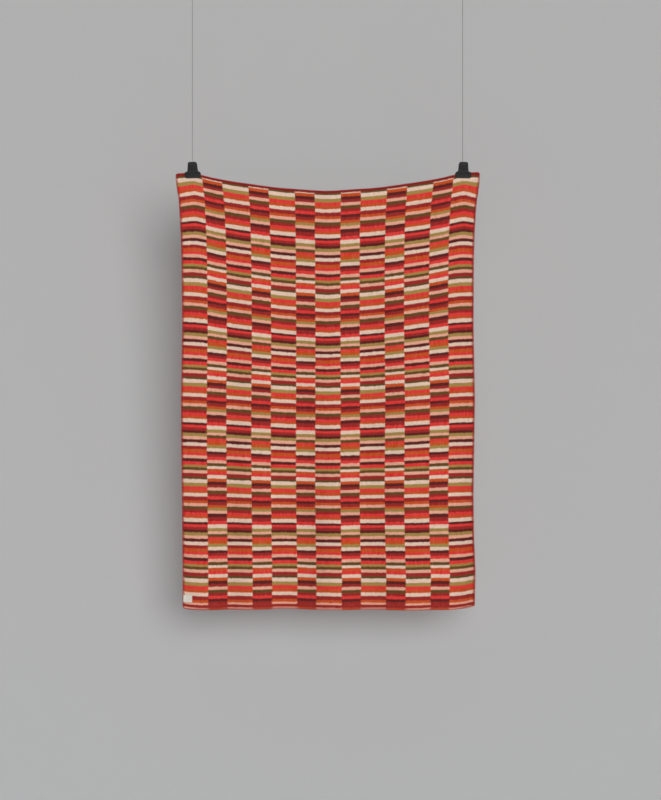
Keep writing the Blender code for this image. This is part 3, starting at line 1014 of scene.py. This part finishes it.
def edit_select(item, test, kind="verts"):
    """In edit mode, selects only the vertices, edges or faces whose middle passes a test, in mm."""
    bpy.ops.mesh.select_all(action="DESELECT")
    form = bmesh.from_edit_mesh(item.data)
    for part in getattr(form, kind):
        middle = part.co if kind == "verts" else sum((v.co for v in part.verts), Vector()) / len(part.verts)
        if test(middle / MM):
            part.select_set(True)
    form.select_flush_mode()
    bmesh.update_edit_mesh(item.data)


def between(table, place):
    """The second column of a table whose first one falls, read at a place."""
    rising = sorted(table)
    return float(np.interp(place, [row[0] for row in rising], [row[1] for row in rising]))


def corner_rows(edge, half, radius, upper):
    """Height and half width round a plate's corner, above or below, in mm."""
    rows = []
    for step in range(CORNER_STEPS + 1):
        angle = math.pi / 2 * step / CORNER_STEPS
        rise, wide = (1 - math.cos(angle), 1 - math.sin(angle))
        if not upper:
            rise, wide = -wide, rise
        rows.append((edge - radius * rise, half - radius * wide))
    return rows


def plate_rows():
    """Height and half width of a plate from the lever's top to the jaw's lip, in mm."""
    rows = corner_rows(LEVER_TOP, LEVER_HALF_TOP, LEVER_CORNER, True)
    top, foot = LEVER_TOP - LEVER_CORNER, SHOULDER + 1.5
    for share in (0.2, 0.4, 0.6, 0.8, 1.0):
        rows.append((top + (foot - top) * share, LEVER_HALF_TOP + (LEVER_HALF_FOOT - LEVER_HALF_TOP) * share))
    rows += [(SHOULDER + 0.6, LEVER_HALF_FOOT + 0.4)]
    rows += corner_rows(SHOULDER, JAW_HALF, JAW_SHOULDER, True)
    rows += [(-17.0, JAW_HALF), (-20.5, JAW_HALF)]
    return rows + corner_rows(JAW_FOOT, JAW_HALF, JAW_CORNER, False)


def plate_sheet(facing):
    """A plate's sheet, pulled down row by row from its lever's top, with its lip rolled outwards."""
    rows = plate_rows()
    deselect()
    bpy.ops.mesh.primitive_grid_add(x_subdivisions=PLATE_COLUMNS, y_subdivisions=1, size=1)
    plate = bpy.context.active_object
    (top, top_half), (second, second_half) = rows[0], rows[1]
    for vert in plate.data.vertices:
        upper = vert.co.y > 0
        height, half = (top, top_half) if upper else (second, second_half)
        vert.co = Vector((vert.co.x * 2 * half, between(PLATE_BEND, height) * facing, height)) * MM
    set_mode("EDIT")
    edit_select(plate, lambda place: place.z < (top + second) / 2)
    for (height, half), (below, below_half) in zip(rows[1:], rows[2:]):
        bend = between(PLATE_BEND, below) - between(PLATE_BEND, height)
        extrude(0, bend * facing, below - height)
        widen(below_half / half, 1, 1)
    for step in range(1, LIP_STEPS + 1):
        before, now = math.pi * (step - 1) / LIP_STEPS, math.pi * step / LIP_STEPS
        out = LIP_RADIUS * (math.cos(before) - math.cos(now))
        fall = LIP_RADIUS * (math.sin(before) - math.sin(now))
        extrude(0, out * facing, fall)
    set_mode("OBJECT")
    apply_modifier(plate, "SOLIDIFY", thickness=PLATE_THICK * MM, offset=0.0, use_even_offset=True)
    return plate


def add_plate(word, side, where, facing, finish):
    """One stamped plate: a bent sheet with a raised panel on its lever, ears and a hole for the pin."""
    plate = plate_sheet(facing)
    set_mode("EDIT")
    bpy.ops.mesh.select_all(action="SELECT")
    bpy.ops.mesh.normals_make_consistent(inside=False)
    bpy.ops.mesh.select_mode(type="FACE")
    inner_half = LEVER_HALF_TOP * (1 - 3.5 / PLATE_COLUMNS)
    edit_select(
        plate,
        lambda place: abs(place.x) < inner_half
        and PANEL_FOOT < place.z < PANEL_TOP
        and (place.y - between(PLATE_BEND, place.z) * facing) * facing > 0.2,
        "faces",
    )
    bpy.ops.mesh.inset(thickness=PANEL_RIM * MM, depth=PANEL_RISE * MM)
    bpy.ops.mesh.select_mode(type="VERT")
    set_mode("OBJECT")
    apply_modifier(plate, "BEVEL", width=0.3 * MM, segments=2, limit_method="ANGLE", angle_limit=0.7)
    for ear_side in (-1, 1):
        add_ear(plate, where, facing, ear_side)
    deselect()
    bpy.ops.mesh.primitive_cylinder_add(
        vertices=24, radius=(PIN_RADIUS + GAP) * MM, depth=60 * MM, rotation=(0, math.pi / 2, 0)
    )
    hole = bpy.context.active_object
    apply_modifier(plate, "BOOLEAN", object=hole, operation="DIFFERENCE", solver="EXACT")
    bpy.data.objects.remove(hole)
    name = f"clip_{word}_{where}"
    return place_clip_piece(plate, side, f"{name}_plate", finish, name)


def add_ear(plate, where, facing, ear_side):
    """An ear that comes in from the plate beside the spring, with a round end about the pin."""
    deselect()
    bpy.ops.mesh.primitive_cylinder_add(
        vertices=32,
        radius=CHEEK_RADIUS * MM,
        depth=CHEEK_THICK * MM,
        rotation=(0, math.pi / 2, 0),
        location=((CHEEK_X[where] + CHEEK_THICK / 2) * ear_side * MM, 0, 0),
    )
    ear = bpy.context.active_object
    bpy.ops.object.transform_apply(location=True, rotation=True, scale=True)
    set_mode("EDIT")
    edit_select(ear, lambda place: place.y * facing > 0.1)
    reach = between(PLATE_BEND, 0) - CHEEK_RADIUS + 0.1
    bpy.ops.transform.translate(value=(0, reach * facing * MM, 0))
    set_mode("OBJECT")
    apply_modifier(ear, "BEVEL", width=0.2 * MM, segments=2, limit_method="ANGLE")
    apply_modifier(plate, "BOOLEAN", object=ear, operation="UNION", solver="EXACT")
    bpy.data.objects.remove(ear)


def place_clip_piece(item, side, name, finish, replaced):
    """Turns a piece made about the barrel's axis to its clip's lean and moves it there."""
    item.data.transform(
        Matrix.Translation((side * CLIP_X + CLIP_SHIFT[side], 0, BARREL_Z))
        @ Matrix.Rotation(CLIP_TILT[side], 4, "Y")
    )
    make_active(item)
    bpy.ops.object.shade_smooth_by_angle(angle=math.radians(35))
    return finish_piece(item, name, finish, replaced)


def spring_line():
    """Middle line of the spring: its coil along x, and a leg up from each end, in mm."""
    turns = (2 * BARREL_HALF - SPRING_WIRE) / SPRING_PITCH
    steps = round(turns * SPRING_STEPS)
    radius = BARREL_RADIUS - SPRING_WIRE / 2
    angles = np.linspace(0, turns * 2 * math.pi, steps)
    reach = BARREL_HALF - SPRING_WIRE / 2
    along = np.linspace(-reach, reach, steps)
    coil = np.stack([along, radius * np.cos(angles), radius * np.sin(angles)], axis=-1)
    leg = np.array([np.array(SPRING_LEG) * share for share in (0.25, 0.5, 0.75, 1.0)])
    return np.concatenate([(coil[0] + leg)[::-1], coil, coil[-1] + leg])


def add_barrel(word, side, spring_steel):
    """The spring's coil on its pin, with riveted pin heads."""
    deselect()
    outer = CHEEK_X["front"] + CHEEK_THICK + GAP
    bpy.ops.mesh.primitive_cylinder_add(
        vertices=24, radius=PIN_RADIUS * MM, depth=2 * outer * MM, rotation=(0, math.pi / 2, 0)
    )
    pin = bpy.context.active_object
    bpy.ops.object.transform_apply(location=True, rotation=True, scale=True)
    set_mode("EDIT")
    for end in (-1, 1):
        edit_select(pin, lambda place: place.x * end > outer - 0.1, "faces")
        for out, wide in PIN_HEAD:
            extrude(out * end, 0, 0)
            widen(1, wide, wide)
    set_mode("OBJECT")
    spring = tube_mesh(f"clip_{word}_coil", [spring_line() * MM], SPRING_WIRE / 2 * MM, 2)
    join_to(pin, spring)
    name = f"clip_{word}_spring"
    return place_clip_piece(pin, side, name, spring_steel, f"clip_{word}_barrel")


def add_loop(word, side, strand, metal):
    """The wire's end round the barrel, closed by a crimped sleeve."""
    foot = SLEEVE_FOOT[side]
    top = foot + SLEEVE_LONG
    reach = math.hypot(LOOP_NECK, foot)
    touch = math.atan2(foot, LOOP_NECK) - math.acos(LOOP_RADIUS / reach)
    ring = np.linspace(touch, -math.pi - touch, LOOP_POINTS)
    line = [(LOOP_NECK, top - 1), (LOOP_NECK, foot)]
    line += [(LOOP_RADIUS * math.cos(a), LOOP_RADIUS * math.sin(a)) for a in ring]
    line += [(-LOOP_NECK, foot), (-LOOP_NECK, top - 1)]
    line = np.array([(0.0, y, z) for y, z in line]) * MM
    bend = tube_mesh(f"wire_{word}_bend", [line], WIRE_DIAMETER / 2, 3)
    bend.data.materials.append(strand)

    deselect()
    bpy.ops.mesh.primitive_cylinder_add(
        vertices=32, radius=1 * MM, depth=SLEEVE_LONG * MM,
        location=(0, 0, (foot + top) / 2 * MM), scale=(*SLEEVE_HALF, 1),
    )
    sleeve = bpy.context.active_object
    bpy.ops.object.transform_apply(location=True, rotation=True, scale=True)
    set_mode("EDIT")
    for share in CRIMPS:
        crimp = foot + SLEEVE_LONG * share
        for height in CRIMP_CUTS:
            bpy.ops.mesh.select_all(action="SELECT")
            bpy.ops.mesh.bisect(plane_co=(0, 0, (crimp + height) * MM), plane_no=(0, 0, 1))
        edit_select(sleeve, lambda place: abs(place.z - crimp) < 0.6)
        widen(*CRIMP_SQUEEZE)
    set_mode("OBJECT")
    apply_modifier(sleeve, "BEVEL", width=0.25 * MM, segments=2, limit_method="ANGLE", angle_limit=0.8)
    sleeve.data.materials.append(metal)
    join_to(sleeve, bend)
    sleeve.data.transform(Matrix.Translation((side * CLIP_X, 0, BARREL_Z)))
    bpy.ops.object.shade_smooth_by_angle(angle=math.radians(35))
    return finish_piece(sleeve, f"wire_{word}_sleeve", None, f"wire_{word}_loop")


def add_fitting(word, side, finish):
    """The ceiling fitting: drawn down ring by ring from its flat top, with a knurled grip."""
    deselect()
    bpy.ops.mesh.primitive_circle_add(
        vertices=FITTING_SIDES, radius=FITTING_PROFILE[0][1] * MM, fill_type="NGON"
    )
    body = bpy.context.active_object
    set_mode("EDIT")
    bpy.ops.mesh.select_all(action="SELECT")
    for (high, wide), (low, narrow) in zip(FITTING_PROFILE, FITTING_PROFILE[1:]):
        extrude(0, 0, high - low)
        widen(narrow / wide, narrow / wide, 1)
    bpy.ops.mesh.select_all(action="SELECT")
    bpy.ops.mesh.normals_make_consistent(inside=False)
    bpy.ops.mesh.select_mode(type="FACE")
    sector = 2 * math.pi / FITTING_SIDES
    edit_select(
        body,
        lambda place: abs(place.z + KNURL_MIDDLE) < 1
        and math.hypot(place.x, place.y) > 5
        and math.floor((math.atan2(place.y, place.x) + 2 * math.pi) / sector) % 2 == 0,
        "faces",
    )
    bpy.ops.mesh.inset(thickness=KNURL_RIM * MM, depth=-KNURL_DEPTH * MM, use_individual=True)
    bpy.ops.mesh.select_mode(type="VERT")
    set_mode("OBJECT")
    body.data.transform(Matrix.Translation((side * CLIP_X, 0, 0)))
    make_active(body)
    bpy.ops.object.shade_smooth_by_angle(angle=math.radians(30))
    return finish_piece(body, f"wire_{word}_gripper", finish, f"wire_{word}_fitting")


def add_sun(name, strength, spread_angle, towards):
    """A soft directional light."""
    light = new_object(name, bpy.data.lights.new(name, "SUN"))
    light.data.energy = strength
    light.data.angle = math.radians(spread_angle)
    light.rotation_euler = Vector(towards).to_track_quat("-Z", "Y").to_euler()


def add_surround():
    """Even ambient light, in front of a paler surround that only the camera sees."""
    world = bpy.data.worlds.new("studio")
    bpy.context.scene.world = world
    world.use_nodes = True
    tree = world.node_tree
    ambient = tree.nodes["Background"]
    pale = tree.nodes.new("ShaderNodeBackground")
    for light, colour in ((ambient, AMBIENT), (pale, PALE_SURROUND)):
        light.inputs["Color"].default_value = (*colour, 1.0)
    seen = tree.nodes.new("ShaderNodeLightPath")
    both = tree.nodes.new("ShaderNodeMixShader")
    tree.links.new(seen.outputs["Is Camera Ray"], both.inputs[0])
    tree.links.new(ambient.outputs[0], both.inputs[1])
    tree.links.new(pale.outputs[0], both.inputs[2])
    tree.links.new(both.outputs[0], tree.nodes["World Output"].inputs["Surface"])


def add_floor():
    floor_finish = Finish("floor_paint", Roughness=0.8, Base_Color=(*FLOOR_GREY, 1.0))
    deselect()
    bpy.ops.mesh.primitive_circle_add(
        vertices=96, radius=FLOOR_RADIUS, fill_type="NGON", location=(0, 0, FLOOR_Z)
    )
    floor = bpy.context.active_object
    floor.name = "floor"
    floor.data.materials.append(floor_finish.material)
    return floor


def paper_finish():
    """The backdrop's paper, seen from its front only, so that it hides nothing in views from behind."""
    finish = Finish("backdrop_paper", Roughness=1.0, Specular_IOR_Level=0.0, Emission_Strength=1.0)
    x, y, _ = finish.split(finish.object_place())
    across, up = x / CUT_WIDTH, y / CUT_LENGTH
    away = (across * across + up * up).math("SQRT")
    start, end = WALL_PAINTED_COOL_REACH
    far = finish.node("MapRange", {0: away, 1: start, 2: end}, interpolation_type="SMOOTHSTEP")
    # Painted light: close behind the throw the colour is painted cooler, to cancel the red light bounced onto
    # the backdrop there
    finish.feed("Base Color", finish.mix(far, WALL_PAINTED_COOL, WALL_GREY))
    # Painted light: the backdrop glows, most at its foot and not at all at its top
    fade = y / WALL_TALL + 0.5
    finish.feed("Emission Color", finish.mix(fade, WALL_FOOT_PAINTED_GLOW, (0.0, 0.0, 0.0)))
    output = finish.tree.nodes["Material Output"]
    behind = finish.node("NewGeometry", output="Backfacing")
    clear = finish.node("BsdfTransparent")
    both = finish.node("MixShader", {0: behind, 2: clear})
    finish.tree.links.new(finish.shader.outputs[0], both.socket.node.inputs[1])
    finish.tree.links.new(both.socket, output.inputs["Surface"])
    return finish.material


def add_stage():
    """A grey backdrop close behind the throw, a pale floor, and soft light from the upper right."""
    floor = add_floor()
    deselect()
    bpy.ops.mesh.primitive_plane_add(
        size=WALL_TALL, location=(0, WALL_Y, WALL_Z), rotation=(math.pi / 2 + WALL_LEAN, 0, 0)
    )
    wall = bpy.context.active_object
    wall.name = "backdrop"
    wall.data.materials.append(paper_finish())
    wall.visible_shadow = wall.visible_diffuse = wall.visible_glossy = False

    add_surround()
    for light in LIGHTS:
        add_sun(*light)
    bpy.context.scene.view_settings.view_transform = "Standard"


def main():
    add_camera()
    add_stage()
    strand = strand_finish()
    spring_steel = steel_finish("spring_steel", (0.10, 0.10, 0.105), (0.26, 0.26, 0.27), 0.26, 60.0)
    nickel = steel_finish("fitting_nickel", (0.52, 0.51, 0.49), (0.68, 0.67, 0.65), 0.20, 900.0)
    black = coat_finish()
    wires = {word: add_wire(word, side, strand) for word, side in SIDES_OF_THROW}
    for word, side in SIDES_OF_THROW:
        for where, facing in (("front", -1), ("back", 1)):
            add_plate(word, side, where, facing, black)
        add_barrel(word, side, spring_steel)
        add_loop(word, side, strand, spring_steel)
        gripper = add_fitting(word, side, nickel)
    cloth = add_throw([wool_finish("wool_face", False), wool_finish("wool_reverse", True)])
    overcast = add_overcast(yarn_finish())
    label, stitches = add_label(ribbon_finish(), thread_finish())


main()
